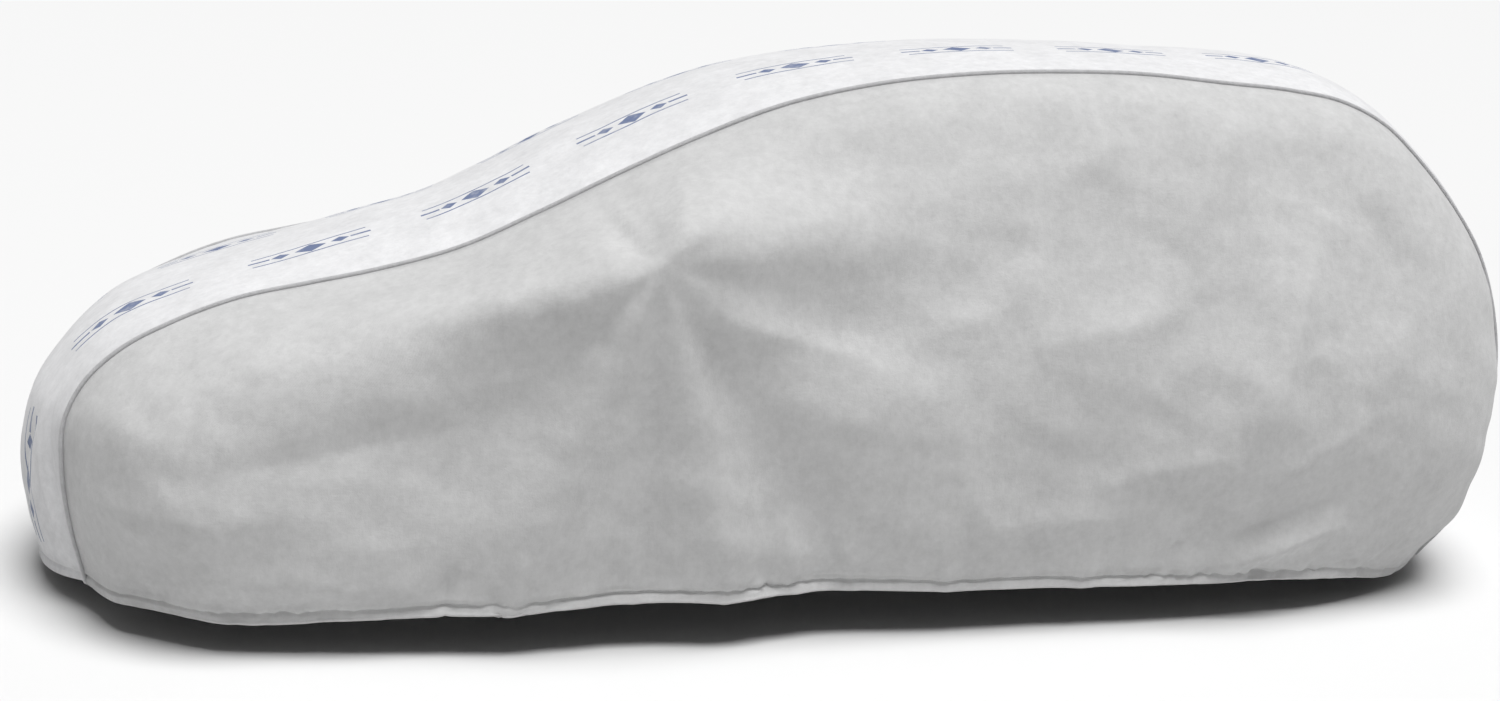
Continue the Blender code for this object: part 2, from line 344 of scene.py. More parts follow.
# Soft ridges of the side panels, or valleys where height is negative
FOLD_BLUNTNESS = 0.7
FOLD_SHARPNESS = 1.5
LEFT_FOLDS = (
    # x0, z0, x1, z1, width, height
    (-0.98, -0.33, -0.08, -0.27, 0.080, 0.013),  # upper, long
    (-1.12, -0.42, -0.74, -0.37, 0.030, 0.005),  # beside the tent
    (-1.34, -0.58, -0.70, -0.76, 0.036, 0.010),  # below the tent, to the rear
    (-0.10, -0.18, -0.33, -0.34, 0.055, 0.013),  # upper, slanting
    (0.22, -0.11, 0.02, -0.48, 0.065, 0.021),  # upper rear
    (0.43, -0.36, 0.13, -1.10, 0.082, 0.048),  # rear, upright
    (-0.02, -1.02, 0.52, -0.84, 0.120, 0.022),  # rear, bulge
    (0.06, -0.56, -0.07, -0.80, 0.055, -0.012),  # ahead of it
    (0.15, -1.10, 0.66, -0.82, 0.060, 0.016),  # rear fan, crest
    (0.08, -1.22, 0.60, -1.07, 0.040, -0.020),  # rear fan, trough
    (0.12, -1.28, 0.54, -1.165, 0.028, 0.024),  # rear fan, lower
    (-0.03, -1.25, 0.15, -1.14, 0.028, -0.012),  # ahead of it
    (-0.22, -1.05, 0.16, -0.95, 0.056, 0.015),  # middle, low
    (0.72, -0.56, 0.56, -0.84, 0.060, 0.013),  # tail
    (0.46, -0.22, 0.66, -0.52, 0.055, -0.009),  # tail, upper
    (-0.54, -1.150, -0.06, -1.120, 0.052, 0.013),  # middle, above the hem
    (-0.57, -1.03, -0.42, -1.21, 0.032, 0.006),  # middle, slanting
    (-0.68, -0.67, -0.45, -0.60, 0.040, 0.010),  # middle, behind the fan
    (-0.47, -0.62, -0.38, -0.48, 0.045, 0.009),  # its upper end
    (-0.40, -0.69, 0.06, -0.61, 0.066, 0.022),  # middle, long
    (-2.36, -1.22, -1.80, -1.27, 0.050, 0.013),  # front, above the hem
    (-2.42, -1.01, -1.72, -0.86, 0.075, -0.022),  # front
    (-1.88, -0.70, -2.46, -0.86, 0.065, 0.022),  # front, crest
    (-2.62, -1.09, -2.22, -1.10, 0.070, 0.022),  # front, low
    (-1.49, -0.37, -1.38, -0.475, 0.014, -0.010),  # groove above the tent
    (-1.80, -0.46, -1.40, -0.485, 0.014, 0.007),  # rays ahead of it
    (-1.66, -0.41, -1.40, -0.475, 0.014, 0.005),
    (-1.30, -0.42, -1.22, -0.26, 0.020, 0.007),  # ray behind it
    (-1.38, -1.12, -1.36, -1.31, 0.026, 0.010),  # from the hem up
    (-1.18, -1.06, -1.14, -1.31, 0.030, 0.013),
    (-1.01, -1.10, -0.95, -1.31, 0.024, 0.012),
    (-0.87, -1.12, -0.80, -1.31, 0.026, 0.010),
    (-0.62, -1.15, -0.56, -1.31, 0.028, 0.010),
    (-0.24, -1.19, -0.20, -1.31, 0.030, 0.009),
    (-1.62, -1.16, -1.66, -1.31, 0.028, 0.009),
    (-1.79, -1.19, -1.81, -1.31, 0.014, -0.012),  # gather
)
RIGHT_FOLDS = (
    # x0, z0, x1, z1, width, height
    (-0.88, -0.33, -0.30, -0.27, 0.055, 0.008),  # upper, long
    (0.25, -0.16, 0.10, -0.50, 0.070, 0.015),  # upper rear
    (0.42, -0.54, 0.26, -1.00, 0.060, 0.017),  # rear, upright
    (0.18, -1.14, 0.70, -0.90, 0.060, 0.014),  # rear fan, crest
    (0.12, -1.28, 0.60, -1.13, 0.045, -0.014),  # rear fan, trough
    (0.76, -0.62, 0.60, -0.88, 0.060, 0.011),  # tail
    (-0.60, -0.95, -0.05, -0.80, 0.060, -0.010),  # middle, long
    (-0.72, -0.62, -0.42, -0.56, 0.045, 0.010),  # middle, behind the fan
    (-2.30, -1.20, -1.85, -1.26, 0.050, 0.011),  # front, above the hem
    (-2.28, -1.00, -1.70, -0.86, 0.070, -0.008),  # front
    (-1.52, -1.14, -1.50, -1.31, 0.028, 0.010),  # from the hem up
    (-1.24, -1.08, -1.19, -1.31, 0.030, 0.011),
    (-1.00, -1.13, -0.96, -1.31, 0.025, 0.010),
    (-0.70, -1.12, -0.66, -1.31, 0.028, 0.010),
    (-0.33, -1.16, -0.30, -1.31, 0.030, 0.008),
)

# Creases of the strip: places along it and across it, in metres from the front hem
# and from the middle line
STRIP_FOLDS = (
    # along0, across0, along1, across1, width, height
    (0.02, -0.39, 0.34, -0.27, 0.015, 0.010),
    (0.02, -0.34, 0.24, -0.22, 0.016, 0.008),
    (0.10, -0.39, 0.46, -0.31, 0.015, -0.009),
    (0.14, -0.10, 0.40, -0.26, 0.018, -0.008),
    (0.03, 0.18, 0.38, 0.35, 0.024, 0.008),
    (0.08, -0.02, 0.36, -0.10, 0.040, 0.004),
    (1.50, -0.42, 1.90, 0.05, 0.060, 0.004),
    (1.55, 0.42, 1.95, 0.10, 0.060, 0.004),
    (5.20, -0.40, 5.62, -0.12, 0.050, 0.005),
    (5.15, 0.42, 5.60, 0.16, 0.050, 0.005),
)


def smooth(places, values, at):
    """Read a smooth curve through the values given at the places."""
    slopes = np.gradient(values, places, axis=0)
    at = np.asarray(at, dtype=float)
    index = np.clip(np.searchsorted(places, at) - 1, 0, len(places) - 2)
    span = (places[index + 1] - places[index])[..., None]
    t = ((at - places[index]) / span[..., 0])[..., None]
    start = values[index] * (1 + 2 * t) * (1 - t) ** 2
    end = values[index + 1] * (3 - 2 * t) * t**2
    leaving = slopes[index] * span * t * (1 - t) ** 2
    arriving = slopes[index + 1] * span * t**2 * (t - 1)
    return start + end + leaving + arriving


def tape_lengths(points, axis=0):
    """Return the distance of each point from the first, along the points."""
    steps = np.linalg.norm(np.diff(points, axis=axis), axis=-1)
    start = np.zeros_like(np.take(steps, [0], axis=axis))
    return np.concatenate([start, np.cumsum(steps, axis=axis)], axis=axis)


def eased(share):
    """Rise smoothly from 0 to 1 as share does."""
    share = np.clip(share, 0, 1)
    return share * share * (3 - 2 * share)


SEAM_POINTS = np.array(SEAM)
SEAM_PLACES = tape_lengths(SEAM_POINTS)
SEAM_LENGTH = SEAM_PLACES[-1]
SECTION_TABLE = np.array(SECTIONS)


def seam_point(along):
    """Return the seam's (x, z) at a distance along it."""
    return smooth(SEAM_PLACES, SEAM_POINTS, along)


def seam_tangent(along):
    """Return the seam's direction in the XZ plane."""
    along = np.clip(along, TANGENT_STEP, SEAM_LENGTH - TANGENT_STEP)
    run = seam_point(along + TANGENT_STEP) - seam_point(along - TANGENT_STEP)
    return run / np.linalg.norm(run, axis=-1, keepdims=True)


def outward(tangent):
    """Turn a seam direction into the direction that points out of the cover."""
    return np.stack([-tangent[..., 1], tangent[..., 0]], axis=-1)


def section(along):
    """Return the cross-section's sizes at a distance along the seam."""
    places = SECTION_TABLE[:, 0]
    sizes = smooth(places, SECTION_TABLE[:, 1:], np.clip(along, 0.0, places[-1]))
    return np.moveaxis(sizes, -1, 0)


def strip_surface(along, across):
    """Return points of the strip; across runs from -1 at the left seam to 1."""
    half_width, crown = section(along)[:2]
    edge_angle = np.arctan(STRIP_CROWN_POWER * crown / half_width)
    across = across * (1 - TUCKED_EDGE * np.cos(edge_angle) / half_width)
    middle = 1 - np.abs(across) ** STRIP_CROWN_POWER
    near_hem = np.clip(1 - (SEAM_LENGTH - along) / HEM_RISE_REACH, 0, 1)
    raised = along - REAR_HEM_RISE * near_hem * middle
    direction = outward(seam_tangent(raised))
    direction[..., 1] = np.maximum(direction[..., 1], CROWN_LEAST_RISE)
    direction /= np.linalg.norm(direction, axis=-1, keepdims=True)
    plane = seam_point(raised) + direction * (crown * middle)[..., None]
    return np.stack([plane[..., 0], across * half_width, plane[..., 1]], axis=-1)


def quarter_round(depth, start_angle):
    """Rise from 0 to 1 as a quarter ellipse that sets off at start_angle."""
    closing = (1 - np.clip(depth, 0, 1)) * np.cos(start_angle)
    return (np.sqrt(1 - closing**2) - np.sin(start_angle)) / (1 - np.sin(start_angle))


def nearest_on_seam(plane):
    """Return each point's place along the seam and its depth inside it."""
    samples = np.linspace(0, SEAM_LENGTH, SEAM_SAMPLES)
    line = seam_point(samples)
    tangents = seam_tangent(samples)
    nearest = np.stack(
        [np.linalg.norm(row[:, None] - line, axis=-1).argmin(axis=-1) for row in plane]
    )
    offset = plane - line[nearest]
    along = samples[nearest] + (offset * tangents[nearest]).sum(axis=-1)
    depth = -(offset * outward(tangents[nearest])).sum(axis=-1)
    return np.clip(along, 0, SEAM_LENGTH), np.maximum(depth, 0)


def side_start_angle(along):
    """Return the angle at which the side panel carries on from the strip."""
    half_width, crown, round_out, round_depth, _ = section(along)
    slope = STRIP_CROWN_POWER * crown / half_width
    return np.arctan(SHOULDER_EASE * slope * round_out / round_depth)


def inset_seam(along):
    """Return the side panel's sewn edge, clear of the piping."""
    _, _, round_out, round_depth, _ = section(along)
    angle = side_start_angle(along)
    out_rate = round_out * np.cos(angle) / (1 - np.sin(angle))
    turn = TUCKED_EDGE / np.hypot(out_rate, round_depth * np.tan(angle))
    inset = round_depth * (1 - np.cos(angle + turn) / np.cos(angle))
    return seam_point(along) - outward(seam_tangent(along)) * inset[..., None]


HEM_TABLE = np.vstack([inset_seam(0.0), HEM, inset_seam(SEAM_LENGTH)])
HEM_PLACES = tape_lengths(HEM_TABLE)


def side_plane(u, v):
    """Blend the seam's three runs and the hem into one patch in the XZ plane."""
    u, v = u[..., None], v[..., None]
    hem = smooth(HEM_PLACES, HEM_TABLE, u[..., 0] * HEM_PLACES[-1])
    top = inset_seam(FRONT_CORNER + u[..., 0] * (REAR_CORNER - FRONT_CORNER))
    front = inset_seam(v[..., 0] * FRONT_CORNER)
    rear = inset_seam(SEAM_LENGTH - v[..., 0] * (SEAM_LENGTH - REAR_CORNER))
    ends = (1 - u) * ((1 - v) * inset_seam(0.0) + v * inset_seam(FRONT_CORNER))
    ends += u * ((1 - v) * inset_seam(SEAM_LENGTH) + v * inset_seam(REAR_CORNER))
    return (1 - v) * hem + v * top + (1 - u) * front + u * rear - ends


def side_base(plane, along, depth):
    """Return how far the smooth side panel stands out from the middle plane."""
    x, z = plane[..., 0], plane[..., 1]
    half_width, _, round_out, round_depth, lean_depth = section(along)
    rounding = quarter_round(depth / round_depth, side_start_angle(along))
    lean = 1 - (1 - np.clip(depth / lean_depth, 0, 1)) ** LEAN_POWER
    lean_out = SIDE_HALF_WIDTH - half_width - round_out
    above_hem = z - smooth(HEM_TABLE[:, 0], HEM_TABLE[:, 1:], x)[..., 0]
    below_waist = np.clip((WAIST_Z - z) / (WAIST_Z - HEM_TABLE[0, 1]), 0, 1)
    drawn = TUCK_UNDER * below_waist**2
    drawn += HEM_DRAW_IN * np.clip(1 - above_hem / HEM_HEIGHT, 0, 1) ** 2
    return half_width + round_out * rounding + lean_out * lean - drawn * rounding


def tent_push(x, z, out):
    """Return how far the tent stands out beyond the rest of the panel."""
    slope_x = np.where(x < TENT_X, TENT_SLOPE_FRONT, TENT_SLOPE_BACK)
    blunt = TENT_BLUNT + TENT_BLUNTING * np.abs(x - TENT_X)
    ahead = np.clip(TENT_X - x, 0, None)
    behind = np.clip(x - TENT_X, 0, None)
    height = z - TENT_Z + TENT_RIDGE_DROP * ahead * (1 + ahead)
    height -= TENT_RIDGE_RISE * (1 - np.exp(-behind / TENT_RIDGE_RUN))
    above = blunt * np.logaddexp(0, height / blunt)
    below = above - height
    fall = np.hypot((x - TENT_X) * slope_x, above * TENT_SLOPE_UP + below * TENT_SLOPE_DOWN)
    tent = TENT_OUT - (np.hypot(fall, TENT_TIP_RADIUS) - TENT_TIP_RADIUS)
    return TENT_SOFTNESS * np.logaddexp(0, (tent - out) / TENT_SOFTNESS)


def spoke_height(x, z, spokes):
    """Return the height of the facets between the ridges that leave the tent's tip."""
    table = np.array(spokes)
    table = table[table[:, 0].argsort()]
    turns = np.concatenate([table[-1:] - (360, 0, 0), table, table[:1] + (360, 0, 0)])
    angle = np.degrees(np.arctan2(z - TENT_Z, x - TENT_X))
    distance = np.hypot(x - TENT_X, z - TENT_Z)
    reach = np.interp(angle, turns[:, 0], turns[:, 1])
    spread = SPOKE_SOFTNESS + np.degrees(SPOKE_ROUNDING / np.maximum(distance, SPOKE_ROUNDING))
    rise = np.zeros_like(x)
    for offset in np.linspace(-1, 1, SPOKE_READINGS):
        rise += np.interp(angle + offset * spread, turns[:, 0], turns[:, 2]) / SPOKE_READINGS
    share = np.clip(distance / reach, 0, 1)
    return rise * share * (1 - share) ** SPOKE_FADING * SPOKE_PROFILE


def fold_height(x, z, folds):
    """Add up the ridges and valleys of a fold table."""
    total = np.zeros_like(x)
    for x0, z0, x1, z1, width, height in folds:
        run = np.array([x1 - x0, z1 - z0])
        length = np.hypot(*run)
        share = ((x - x0) * run[0] + (z - z0) * run[1]) / length**2
        aside = ((z - z0) * run[0] - (x - x0) * run[1]) / length
        body = np.sin(np.pi * np.clip(share, 0, 1)) ** FOLD_BLUNTNESS
        total += height * body * np.exp(-np.abs(aside / width) ** FOLD_SHARPNESS)
    return total


def clouds(points, size, seed):
    """Return smooth random heights from -1 to 1, in lumps of the given size."""
    knots = np.random.default_rng(seed).uniform(-1, 1, (NOISE_KNOTS,) * 3)
    place = points / np.asarray(size) + NOISE_KNOTS
    base = np.floor(place).astype(int)
    t = eased(place - base)
    total = np.zeros(points.shape[:-1])
    for corner in np.ndindex(2, 2, 2):
        weight = np.prod(np.where(corner, t, 1 - t), axis=-1)
        index = (base + corner) % NOISE_KNOTS
        total += weight * knots[index[..., 0], index[..., 1], index[..., 2]]
    return total


def patches(points, size, seed):
    """Return soft random patches, from 0 to 1."""
    return eased(0.5 + PATCH_CONTRAST * clouds(points, size, seed))


def at_least(least, share):
    """Rise from least to 1 as share rises from 0 to 1."""
    return least + (1 - least) * share


def grid_normals(points):
    """Return the unit normal of each point of a grid, which points out of the cover."""
    normals = np.cross(np.gradient(points, axis=1), np.gradient(points, axis=0))
    return normals / np.maximum(np.linalg.norm(normals, axis=-1, keepdims=True), 1e-12)


def relaxed(values, held, rounds):
    """Even out a grid of values; held is 1 where a value stays as it is."""
    for _ in range(rounds):
        padded = np.pad(values, 1, mode="edge")
        around = padded[:-2, 1:-1] + padded[2:, 1:-1] + padded[1:-1, :-2] + padded[1:-1, 2:]
        values = held * values + (1 - held) * (values + around) / 5
    return values


def with_hem(points, tape, band, roll, first_row):
    """Turn the cloth under along a grid's first or last row and bring it up inside.

    The last row's outer band swells between the stitch line and the edge, goes round
    a half circle of radius roll and comes back up inside to the stitch line.
    """
    inward = -grid_normals(points)[0 if first_row else -1]
    onward = np.array((0, -1) if first_row else (0, 1))
    if not first_row:
        points, tape = points[::-1], tape[::-1]
    down = points[0] - points[1]
    down /= np.linalg.norm(down, axis=-1, keepdims=True)
    rows, places = [], []
    for climb in np.linspace(1, 0, HEM_RETURN_ROWS, endpoint=False):
        rows.append(points[0] + 2 * roll * inward - down * band * climb)
        places.append(tape[0] + onward * (band * climb + np.pi * roll))
    for angle in np.linspace(np.pi, 0, HEM_TURN_ROWS, endpoint=False):
        turn = roll * (1 - np.cos(angle)) * inward + roll * np.sin(angle) * down
        rows.append(points[0] + turn)
        places.append(tape[0] + onward * roll * angle)
    points = np.concatenate([rows, points])
    tape = np.concatenate([places, tape])
    return (points, tape) if first_row else (points[::-1], tape[::-1])


def hem_relief(above, along, band, seed):
    """Return the hem's height: a flared band, a stitch groove and puckers in bursts."""
    share = (above - band) / HEM_GROOVE_WIDTH
    lip = HEM_LIP * np.exp(-((share - HEM_LIP_PLACE) ** 2))
    groove = lip - HEM_GROOVE * np.exp(-(share**2))
    line = np.stack([along, above * PUCKER_SQUASH, 0 * along], axis=-1)
    inner = eased(np.minimum(along - along.min(), along.max() - along) / PUCKERED_FROM)
    flare = HEM_FLARE * np.clip(1 - above / band, 0, 1) ** HEM_FLARE_POWER
    flare *= at_least(HEM_FLARE_AT_ENDS, inner)
    burst = patches(line, PUCKER_BURST, seed) * inner
    pucker = clouds(line, PUCKER_PITCH, seed + 1)
    pucker += FINE_PUCKER_SHARE * clouds(line, PUCKER_PITCH / FINE_PUCKER_RATIO, seed + 2)
    pucker *= at_least(PUCKER_LEAST, burst)
    pucker *= np.exp(-np.abs(above - band * PUCKER_CENTRE) / PUCKER_REACH)
    pucker *= at_least(PUCKER_AT_EDGE, np.clip(above / band, 0, 1))
    return flare + groove + PUCKER_HEIGHT * pucker


def shares(length, step, fine_ends=()):
    """Divide a length into equal shares, with finer ones along the ends named."""
    inner = np.arange(0, length, step)
    inner = inner / inner[-1] * length
    for end in fine_ends:
        fine = np.arange(0, FINE_RUN, FINE_STEP)
        if end == "start":
            inner = np.concatenate([fine, inner[inner > FINE_RUN]])
        else:
            inner = np.concatenate([inner[inner < length - FINE_RUN], length - fine[::-1]])
    return inner / length


def side_points(folds, spokes, side, cloth):
    """Return the grid of a side panel and its places on the flat cloth."""
    columns = shares(PANEL_LENGTH, cloth.step * COLUMN_SHARE)
    rows = shares(PANEL_HEIGHT, cloth.step, fine_ends=("start",))
    v, u = np.meshgrid(rows, columns, indexing="ij")
    plane = side_plane(u, v)
    x, z = plane[..., 0], plane[..., 1]
    along, depth = nearest_on_seam(plane)
    free = eased(depth / EDGE_REACH)
    held = 1 - eased(depth / RELAX_REACH)
    out = relaxed(side_base(plane, along, depth), held, RELAX_ROUNDS)
    sharp = np.exp(-np.hypot(x - TENT_X, z - TENT_Z) / TENT_SHARP_REACH)
    start = np.sin(np.pi / 2 * np.clip(depth / TENT_START_DEPTH, 0, 1))
    out = out + relaxed(tent_push(x, z, out), sharp, TENT_ROUNDS) * start
    points = np.stack([x, -out, z], axis=-1)
    folded = (spoke_height(x, z, spokes) + fold_height(x, z, folds)) * free
    points = points + grid_normals(points) * folded[..., None]
    up = tape_lengths(points, axis=0)
    across = tape_lengths(points, axis=1)
    relief = crumples(points, side) * cloth.crumple * free
    relief += hem_relief(up, across[:1] + 0 * up, cloth.hem_band, HEM_SEED + side)
    relief += seam_relief(depth, along, SIDE_SEAM_SWELL, SIDE_SEAM_REACH, SEAM_SEED + side)
    points = points + grid_normals(points) * relief[..., None]
    tape = np.stack([across, up], axis=-1)
    points, tape = with_hem(points, tape, cloth.hem_band, cloth.hem_roll, True)
    if side > 0:
        points, tape = points[:, ::-1] * (1, -1, 1), tape[:, ::-1]
    return points, tape


def crumples(points, side):
    """Return the cloth's soft crumples, from about -1 to 1."""
    total = np.zeros(points.shape[:-1])
    for *size, tilt, seed, share, creased in CRUMPLES:
        tilted = points @ np.array(Matrix.Rotation(np.radians(tilt), 3, "Y"))
        lumps = clouds(tilted, size, seed + side)
        if creased:
            lumps = 1 - 2 * np.sqrt(lumps**2 + CREASE_ROUNDING)
        total += share * lumps
    return total


def seam_relief(depth, along, swell, reach, seed):
    """Return the swell or dip of the cloth beside the piping and its ripples."""
    line = np.stack([along, 0 * along, 0 * along], axis=-1)
    strength = at_least(SEAM_RIPPLE_LEAST, patches(line, SEAM_RIPPLE_PATCH, seed + 1))
    ripple = clouds(line, SEAM_RIPPLE_PITCH, seed) * np.exp(-((depth / SEAM_RIPPLE_REACH) ** 2))
    ripple *= SEAM_RIPPLE_HEIGHT * strength * eased(depth / SEAM_RIPPLE_START)
    share = depth / reach
    return swell * share * np.exp(1 - share) + ripple


def strip_points(cloth):
    """Return the grid of the strip and its places on the flat cloth."""
    rows = shares(SEAM_LENGTH, cloth.step, fine_ends=("start", "end"))
    columns = shares(1.0, cloth.step)
    along, across = np.meshgrid(rows * SEAM_LENGTH, 1 - columns * 2, indexing="ij")
    points = strip_surface(along, across)
    middle = across * section(along)[0]
    edge = (1 - np.abs(across)) * section(along)[0]
    free = eased(edge / STRIP_EDGE_REACH)
    relief = crumples(points, STRIP_SEED) * cloth.crumple * STRIP_CRUMPLE_SHARE * free
    relief += fold_height(along, middle, STRIP_FOLDS) * free
    relief += seam_relief(edge, along, STRIP_SEAM_SWELL, STRIP_SEAM_REACH, STRIP_SEAM_SEED)
    for above, seed in zip((along, SEAM_LENGTH - along), STRIP_HEM_SEEDS):
        relief += hem_relief(above, middle, cloth.hem_band, seed)
        relief -= STRIP_DRAW_IN * np.clip(1 - above / HEM_HEIGHT, 0, 1) ** 2 * free
    points = points + grid_normals(points) * relief[..., None]
    tape = np.stack([middle, along], axis=-1)
    points, tape = with_hem(points, tape, cloth.hem_band, cloth.hem_roll, True)
    return with_hem(points, tape, cloth.hem_band, cloth.hem_roll, False)


class Value:
    """A shader socket that takes part in Python arithmetic."""

    def __init__(self, shader, socket):
        self.shader = shader
        self.socket = socket

    def math(self, operation, *others):
        """Add a Math node on this value and the others."""
        sockets = dict(enumerate((self, *others)))
        return self.shader.node("ShaderNodeMath", {"operation": operation}, sockets)

    def __add__(self, other):
        return self.math("ADD", other)

    def __sub__(self, other):
        return self.math("SUBTRACT", other)

    def __rsub__(self, other):
        return self.shader.node("ShaderNodeMath", {"operation": "SUBTRACT"}, {0: other, 1: self})

    def __mul__(self, other):
        return self.math("MULTIPLY", other)

    def __truediv__(self, other):
        return self.math("DIVIDE", other)

    def __abs__(self):
        return self.math("ABSOLUTE")

    def __lt__(self, other):
        return self.math("LESS_THAN", other)

    __radd__ = __add__
    __rmul__ = __mul__

    def wrapped(self, period):
        """Return this value's distance from the nearest whole number of periods."""
        return self.math("PINGPONG", period / 2)

    def sine(self, period):
        """Return the sine of this value, one wave for each period."""
        return (self * (2 * np.pi / period)).math("SINE")

    def limited(self):
        """Keep this value between 0 and 1."""
        return self.math("MAXIMUM", 0.0).math("MINIMUM", 1.0)


class Shader:
    """A material's node tree, with one method that adds any node."""

    def __init__(self, name):
        self.material = bpy.data.materials.new(name)
        self.material.use_nodes = True
        self.tree = self.material.node_tree
        self.surface = self.tree.nodes["Principled BSDF"]

    def node(self, kind, settings=None, sockets=None, output=0):
        """Add a node, set it up, fill its sockets and return one of its outputs."""
        made = self.tree.nodes.new(kind)
        for name, value in (settings or {}).items():
            setattr(made, name, value)
        self.fill(made, sockets or {})
        return Value(self, made.outputs[output])

    def fill(self, node, sockets):
        """Give a node's sockets their values or links."""
        for name, value in sockets.items():
            if isinstance(value, Value):
                self.tree.links.new(value.socket, node.inputs[name])
            else:
                node.inputs[name].default_value = value

    def noise(self, place, scale, detail, roughness, stretch=None):
        """Add a noise texture that runs from 0 to 1."""
        if stretch:
            factors = {0: place, 1: stretch}
            place = self.node("ShaderNodeVectorMath", {"operation": "MULTIPLY"}, factors)
        sockets = {"Vector": place, "Scale": scale, "Detail": detail, "Roughness": roughness}
        return self.node("ShaderNodeTexNoise", None, sockets)

    def blend(self, share, low, high):
        """Mix two colours."""
        sockets = {0: share, 6: low, 7: high}
        return self.node("ShaderNodeMix", {"data_type": "RGBA"}, sockets, output=2)

    def bump(self, height, distance):
        """Turn a height into a normal."""
        return self.node("ShaderNodeBump", None, {"Height": height, "Distance": distance})

    def finish(self, **sockets):
        """Set the surface's sockets, whose spaces are written as underscores."""
        self.fill(self.surface, {k.replace("_", " "): v for k, v in sockets.items()})
        return self.material


def opaque(colour, gain=1.0):
    """Return a colour with full alpha, made lighter or darker by gain."""
    return (*(channel * gain for channel in colour), 1.0)


def nonwoven(shader):
    """Return the cloth's cloudiness and fine height, both from 0 to about 1."""
    place = shader.node("ShaderNodeTexCoord", None, None, output=3)
    wide = shader.noise(place, *WIDE_NOISE)
    mottled = shader.noise(place, *MOTTLE_NOISE)
    strands = shader.noise(place, *STRAND_NOISE, stretch=(1.0, 1.0, STRAND_STRETCH))
    crossed = shader.noise(place, *STRAND_NOISE, stretch=(STRAND_STRETCH, 1.0, 1.0))
    cloudy = wide * CLOUD_WIDE + mottled * CLOUD_MOTTLE + (strands + crossed) * CLOUD_STRANDS
    tape = shader.node("ShaderNodeUVMap", {"uv_map": TAPE_MAP})
    flat = shader.node("ShaderNodeSeparateXYZ", None, {0: tape})
    across = Value(shader, flat.socket.node.outputs[0])
    along = Value(shader, flat.socket.node.outputs[1])
    dots = across.sine(BOND_PITCH) * along.sine(BOND_PITCH)
    fine = (strands + crossed) * GRAIN_STRANDS + mottled * GRAIN_MOTTLE + dots * GRAIN_DOTS
    return cloudy, fine, across, along


def clouded(shader, cloudy, contrast, colour, shades):
    """Mix a cloth's darkest and lightest shade by its cloudiness."""
    share = ((cloudy - 0.5) * contrast + 0.5).limited()
    return shader.blend(share, *(opaque(colour, shade) for shade in shades))


def side_finish(colours):
    """Make the grey cloth of the side panels."""
    shader = Shader("side_cloth_finish")
    cloudy, fine, _, _ = nonwoven(shader)
    colour = clouded(shader, cloudy, SIDE_CONTRAST, colours.side, SIDE_SHADES)
    normal = shader.bump(fine, SIDE_GRAIN)
    return shader.finish(
        Base_Color=colour, Roughness=0.84 + cloudy * 0.12, Normal=normal,
        Sheen_Weight=0.12, Sheen_Roughness=0.5, Specular_IOR_Level=0.25,
    )


def strip_finish(colours):
    """Make the pale cloth of the strip, printed with diamonds and dashes."""
    shader = Shader("strip_cloth_finish")
    cloudy, fine, across, along = nonwoven(shader)
    cloth = clouded(shader, cloudy, STRIP_CONTRAST, colours.strip, STRIP_SHADES)
    row = abs(across) - PRINT_ROW
    shift = (across < 0.0) * (PRINT_REPEAT / 2)
    place = (along + shift).wrapped(PRINT_REPEAT)
    shapes = [diamond(place - middle, row, *half) for middle, *half in DIAMONDS]
    shapes += [dash(place - middle, abs(row) - aside, *half) for middle, aside, *half in DASHES]
    ink = shapes[0]
    for shape in shapes[1:]:
        ink = ink.math("MAXIMUM", shape)
    worn = ((cloudy - 0.5) * PRINT_CONTRAST + PRINT_LEVEL).limited()
    colour = shader.blend(ink * worn * PRINT_STRENGTH, cloth, opaque(colours.ink))
    normal = shader.bump(fine, STRIP_GRAIN)
    return shader.finish(
        Base_Color=colour, Roughness=0.82 + cloudy * 0.12, Normal=normal,
        Sheen_Weight=0.10, Sheen_Roughness=0.5, Specular_IOR_Level=0.25,
    )


def diamond(along, across, length, height):
    """Return 1 inside a diamond of the given half length and half height."""
    return (abs(along) / length + abs(across) / height) < 1.0


def dash(along, across, length, height):
    """Return 1 inside a bar of the given half length and half height."""
    return (abs(along) < length) * (abs(across) < height)


def piping_finish(colours):
    """Make the woven tape that wraps the piping."""
    shader = Shader("piping_finish")
    tape = shader.node("ShaderNodeUVMap", {"uv_map": TAPE_MAP})
    flat = shader.node("ShaderNodeSeparateXYZ", None, {0: tape})
    around = Value(shader, flat.socket.node.outputs[0])
    along = Value(shader, flat.socket.node.outputs[1])
    weave = (along + around).sine(PIPING_WEAVE) * (along - around).sine(PIPING_WEAVE)
    place = shader.node("ShaderNodeTexCoord", None, None, output=3)
    worn = shader.noise(place, *WORN_NOISE)
    colour = shader.blend(worn, opaque(colours.piping, 0.8), opaque(colours.piping, 1.25))
    normal = shader.bump(weave, PIPING_GRAIN)
    return shader.finish(Base_Color=colour, Roughness=0.7 + worn * 0.15, Normal=normal)


def thread_finish(colours):
    """Make the sewing thread."""
    shader = Shader("thread_finish")
    place = shader.node("ShaderNodeTexCoord", None, None, output=3)
    twist = shader.noise(place, *TWIST_NOISE)
    colour = shader.blend(twist, opaque(colours.thread, 0.85), opaque(colours.thread, 1.1))
    return shader.finish(Base_Color=colour, Roughness=0.6 + twist * 0.1)


def made_object(name, mesh, finish):
    """Make an object of a mesh and link it to the scene."""
    mesh.materials.append(finish)
    made = bpy.data.objects.new(name, mesh)
    bpy.context.scene.collection.objects.link(made)
    return made


